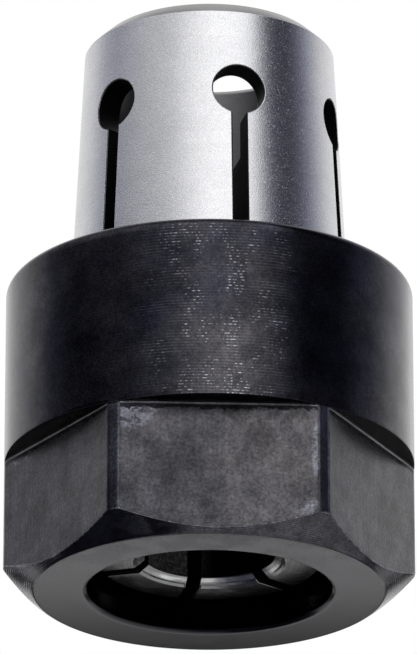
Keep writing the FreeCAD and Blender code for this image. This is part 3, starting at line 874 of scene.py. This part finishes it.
def make_black_oxide(marks, mottle, edge_wear):
    """Blackened steel as a dark metal: feed lines and glints on what is turned, blotches, streaks, scuffs
    and a painted sheen on the milled flats, painted shade below and on each ledge and in the mouth, a
    painted highlight on each ledge's fillet, and worn edges."""
    material, tree, output = new_material("black_oxide")
    point = here(tree)
    nut = nut_areas(tree, point)
    lines = shared(tree, marks, {"Place": point})
    patches = shared(tree, mottle, {"Place": point, "Blotch Scale": 420.0})
    stains = shared(tree, mottle, {"Place": point, "Blotch Scale": 150.0, "Speck Scale": 4500.0})
    streaks = noise(tree, stretched(tree, point, 3400.0, 3400.0, 380.0), 1.0, 2.0)
    frayed = noise(tree, point, 2400.0, 4.0, 0.7)

    colour = plain_oxide(tree, nut, patches, stains, streaks)
    lit = calculate(tree, "MULTIPLY", nut.body, ramp(tree, nut.gripped, 0.0, 1.0, 0.03, 0.12))
    lit = calculate(tree, "MULTIPLY_ADD", nut.cone, 0.45, lit)
    colour = blend(tree, product(tree, lines["Crest"], lit), colour, RUBBED)
    # Painted shade below each ledge
    painted_ledge_shade = painted_ledge_shade_band(tree, nut, frayed)
    colour = mark_ledges(tree, colour, nut, painted_ledge_shade)
    colour = blend(tree, scuffed_places(tree, point, nut, frayed, painted_ledge_shade), colour, SCUFFED)
    bare = bare_places(tree, point, nut, lines, frayed, edge_wear)
    colour = blend(tree, bare, colour, BARE_STEEL)
    grain = ramp(tree, noise(tree, point, 520.0, 7.0, 0.68), 0.3, 0.7, 0.62, 1.38)
    speckle = ramp(tree, noise(tree, point, 6500.0, 2.0, 0.7), 0.3, 0.7, 0.7, 1.3)
    colour = blend(tree, nut.outside, colour, shaded(tree, colour, product(tree, grain, speckle)))

    rough = ramp(tree, patches["Specks"], 0.0, 1.0, 0.16, 0.21)
    rough = calculate(tree, "MULTIPLY_ADD", nut.milled, 0.14, rough)
    cover_with_metal(tree, output, colour, rough, oxide_relief(tree, nut, lines, patches, streaks))
    return material


# Ground steel: the keyhole slots' places, its colours and its areas

HOLE_HEIGHT = 29.85 * MM
HOLE_RADIUS = 1.6 * MM
SLOT_HALF_WIDTH = 0.45 * MM
FIRST_SLOT = 10.25
RIM_WIDTH = 0.1 * MM
RIM_DEPTH = 0.055 * MM
RELIEF_START = 26.0 * MM

GROUND = (0.56, 0.56, 0.575, 1.0)
END_CHAMFER = (0.235, 0.232, 0.228, 1.0)
# Painted shade: the end chamfer's colour towards its foot and sides
END_CHAMFER_PAINTED_SHADE = (0.06, 0.061, 0.065, 1.0)
FRONT_STEEL = (0.26, 0.26, 0.262, 1.0)
# Painted light: mottled grey on one side of the bore's start
BORE_PAINTED_LIGHT = (0.3, 0.3, 0.3, 1.0)
BORE_CHAMFER = (0.38, 0.38, 0.38, 1.0)
# Painted light: the lit rear wall of the wide bore
RELIEF_PAINTED_LIGHT = (0.12, 0.12, 0.122, 1.0)
# Painted shade: black for the slots and bores
INNER_PAINTED_SHADE = (0.007, 0.007, 0.008, 1.0)

GROUND_DEPTH = (0.02 * MM, 0.06 * MM)
END_RISE = (TAPER_END - 0.02 * MM, TAPER_END + 0.02 * MM)
END_OUT = (6.4 * MM, 6.5 * MM)
CHAMFER_FOOT = (TAPER_END, 35.85 * MM)
CHAMFER_SIDE = (0.0, 3.5 * MM)
TAPER_TOP = (TAPER_END, TAPER_END + 0.02 * MM)
FRONT_RISE = (2.0 * MM, 2.1 * MM)
BORE_CHAMFER_RISE = (2.4 * MM, 2.44 * MM)
BORE_CHAMFER_OUT = (4.64 * MM, 4.67 * MM)
RELIEF_RISE = (RELIEF_START, RELIEF_START + 0.05 * MM)
BORE_RISE = (5.0 * MM, 11.0 * MM)
BORE_OUT = (4.03 * MM, 4.08 * MM)
BORE_LIGHT_SIDE = (-1.5 * MM, 0.5 * MM)

SPARKLE = 0.45
SPARKLE_ROUGHNESS = 0.5
UNFINISHED_ROUGHNESS = 0.42
SPECK_DEPTH = 0.0022 * MM
RING_DEPTH = 0.002 * MM


def keyhole_distance(tree, point, radius, height):
    """How far a place is outside the nearest keyhole slot: from its hole, or from its slot below."""
    parts = place(tree, "ShaderNodeSeparateXYZ", {0: point}).outputs
    azimuth = calculate(tree, "ARCTAN2", parts["X"], calculate(tree, "MULTIPLY", parts["Y"], -1.0))
    azimuth = calculate(tree, "SUBTRACT", azimuth, math.radians(FIRST_SLOT))
    wrapped = calculate(tree, "WRAP", azimuth, math.radians(30), math.radians(-30))
    across = calculate(tree, "MULTIPLY", radius, calculate(tree, "SINE", wrapped))
    above = calculate(tree, "SUBTRACT", height, HOLE_HEIGHT)
    flat = place(tree, "ShaderNodeCombineXYZ", {"X": across, "Y": above}).outputs[0]
    hole = place(tree, "ShaderNodeVectorMath", {0: flat}, operation="LENGTH").outputs["Value"]
    hole = calculate(tree, "SUBTRACT", hole, HOLE_RADIUS)
    slot = calculate(tree, "SUBTRACT", calculate(tree, "ABSOLUTE", across), SLOT_HALF_WIDTH)
    slot = calculate(tree, "MAXIMUM", slot, above)
    return calculate(tree, "MINIMUM", hole, slot)


def collet_areas(tree, point):
    """The collet's areas as masks: the ground taper, the end's chamfer, the front, the bore's front
    chamfer, the wide bore in the tail and the lit start of the gripping bore. Finished is all that is
    ground or turned bright."""
    height, radius, _ = turned_place(tree, point)
    up = calculate(tree, "SUBTRACT", height, TAPER_START)
    taper = calculate(tree, "MULTIPLY_ADD", up, -math.tan(math.radians(TAPER_ANGLE)), TAPER_RADIUS)
    ground = fading(tree, calculate(tree, "SUBTRACT", taper, radius), GROUND_DEPTH)
    end = product(tree, ramp(tree, height, *END_RISE), ramp(tree, radius, *END_OUT))
    front = fading(tree, height, FRONT_RISE)
    chamfer = product(tree, fading(tree, height, BORE_CHAMFER_RISE), fading(tree, radius, BORE_CHAMFER_OUT))
    relief_bore = product(tree, ramp(tree, height, *RELIEF_RISE), fading(tree, radius, END_OUT))
    gripping_bore = product(tree, fading(tree, height, BORE_RISE), fading(tree, radius, BORE_OUT))
    finished = calculate(tree, "MAXIMUM", calculate(tree, "MAXIMUM", ground, end),
                         calculate(tree, "MAXIMUM", front, chamfer))
    return SimpleNamespace(height=height, radius=radius, ground=ground, end=end, front=front, chamfer=chamfer,
                           relief_bore=relief_bore, gripping_bore=gripping_bore, finished=finished)


def plain_steel(tree, point, collet):
    """The steel's colours: black as painted shade in the slots and bores, mottled grey as painted light
    on the start of the bore towards -X, painted light on the rear wall of the wide bore, and the end's
    chamfer painted darker towards its foot and its sides as shade."""
    parts = place(tree, "ShaderNodeSeparateXYZ", {0: point}).outputs
    # Painted light: mottled grey on the start of the bore towards -X.
    light_mottling = ramp(tree, noise(tree, point, 5200.0, 3.0, 0.7), 0.36, 0.66, 0.25, 1.0)
    painted_bore_light = product(tree, collet.gripping_bore, light_mottling, fading(tree, parts["X"], BORE_LIGHT_SIDE))
    # Painted light: the wide bore's rear wall is painted lighter than its other walls.
    rear = calculate(tree, "DIVIDE", parts["Y"], collet.radius)
    painted_rear_light = product(tree, collet.relief_bore, ramp(tree, rear, 0.75, 0.97, 0.06, 1.0))
    colour = blend(tree, painted_rear_light, INNER_PAINTED_SHADE, RELIEF_PAINTED_LIGHT)
    colour = blend(tree, painted_bore_light, colour, BORE_PAINTED_LIGHT)
    colour = blend(tree, collet.front, colour, FRONT_STEEL)
    colour = blend(tree, collet.chamfer, colour, BORE_CHAMFER)
    aside = calculate(tree, "ABSOLUTE", parts["X"])
    # Painted shade: the end's chamfer darkens towards its foot and its sides.
    foot = product(tree, fading(tree, collet.height, CHAMFER_FOOT),
                   ramp(tree, aside, *CHAMFER_SIDE, 0.2, 1.0))
    colour = blend(tree, collet.end, colour, blend(tree, foot, END_CHAMFER, END_CHAMFER_PAINTED_SHADE))
    taper = calculate(tree, "MINIMUM", collet.ground, fading(tree, collet.height, TAPER_TOP))
    return blend(tree, taper, colour, GROUND)


def make_ground_steel(marks, mottle):
    """Hardened steel: the taper ground satin with a fine sparkle, the end's chamfer duller with painted
    shade towards its foot and sides, the front and the bore's chamfer turned in rings, painted shade
    and light in the slots and bores, and the edges of the slots broken."""
    material, tree, output = new_material("ground_steel")
    point = here(tree)
    collet = collet_areas(tree, point)
    grain = shared(tree, mottle, {"Place": point, "Blotch Scale": 380.0, "Speck Scale": 15500.0})
    rings = shared(tree, marks, {"Place": point, "Pitch": 0.07 * MM, "Rings": 9000.0})["Height"]
    facing = shared(tree, marks, {"Place": point, "Pitch": 0.17 * MM, "Rings": 5200.0})["Height"]
    sparkle = ramp(tree, noise(tree, point, 9500.0, 2.0, 0.8), 0.56, 0.72, 0.0, SPARKLE)
    sparkle = product(tree, sparkle, collet.ground)

    shade = ramp(tree, grain["Specks"], 0.0, 1.0, 0.86, 1.1)
    shade = calculate(tree, "MULTIPLY_ADD", grain["Blotches"], 0.04, shade)
    shade = calculate(tree, "ADD", sparkle, shade)
    shade = product(tree, shade, ramp(tree, rings, 0.3, 1.2, 0.95, 1.05))
    faced = product(tree, ramp(tree, facing, 0.3, 1.3, -0.5, 0.4),
                    calculate(tree, "MAXIMUM", collet.front, collet.chamfer))
    shade = product(tree, shade, calculate(tree, "ADD", faced, 1.0))
    colour = shaded(tree, plain_steel(tree, point, collet), shade)

    rough = ramp(tree, grain["Specks"], 0.0, 1.0, 0.23, 0.27)
    rough = calculate(tree, "MULTIPLY_ADD", sparkle, SPARKLE_ROUGHNESS, rough)
    rough = calculate(tree, "MULTIPLY_ADD", rest_of(tree, collet.finished), UNFINISHED_ROUGHNESS, rough)
    rough = calculate(tree, "MULTIPLY_ADD", collet.relief_bore, -0.3, rough)

    off_slot = ramp(tree, keyhole_distance(tree, point, collet.radius, collet.height), 0.0, RIM_WIDTH)
    rim = product(tree, off_slot, calculate(tree, "MAXIMUM", collet.ground, collet.front))
    relief = bump(tree, product(tree, grain["Specks"], collet.ground), SPECK_DEPTH)
    relief = bump(tree, product(tree, rings, rest_of(tree, collet.ground)), RING_DEPTH, relief)
    relief = bump(tree, rim, RIM_DEPTH, relief)
    cover_with_metal(tree, output, colour, rough, relief)
    return material


# Spring wire

WIRE_DARK = (0.24, 0.24, 0.25, 1.0)
WIRE_LIGHT = (0.46, 0.46, 0.47, 1.0)
DRAWN_DEPTH = 0.004 * MM


def make_spring_wire(marks, mottle):
    """Drawn spring wire: scratched along its length, with darker stains."""
    material, tree, output = new_material("spring_wire")
    point = here(tree)
    drawn = shared(tree, marks, {"Place": point, "Pitch": 0.07 * MM, "Rings": 16000.0})
    stains = shared(tree, mottle, {"Place": point})
    colour = blend(tree, stains["Blotches"], WIRE_DARK, WIRE_LIGHT)
    rough = ramp(tree, stains["Specks"], 0.0, 1.0, 0.28, 0.4)
    cover_with_metal(tree, output, colour, rough, bump(tree, drawn["Height"], DRAWN_DEPTH))
    return material


make_camera()
make_world()
make_card("light_wall", (-160, 160), (-12, 62), wall_glow)
make_card("rear_hood", (160, 200), (33, 62), hood_glow)
make_card("tent_roof", (-180, 180), (62, 90), roof_glow)
make_card("under_cards", (-180, 180), (-90, -12), pit_glow)
make_sweep()
make_floor()
make_lamp("key_lamp", azimuth=12, elevation=45, distance=0.6, size=0.4, watts=4.0)

turning_marks = make_turning_marks()
mottle = make_mottle()
edge_wear = make_edge_wear()
black_oxide = make_black_oxide(turning_marks, mottle, edge_wear)
dress(make_nut_surface(), black_oxide)
dress(make_thread(), black_oxide)
dress(make_collet(), make_ground_steel(turning_marks, mottle))
dress(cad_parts["retaining_ring"], make_spring_wire(turning_marks, mottle))

scene.view_settings.view_transform = "Standard"
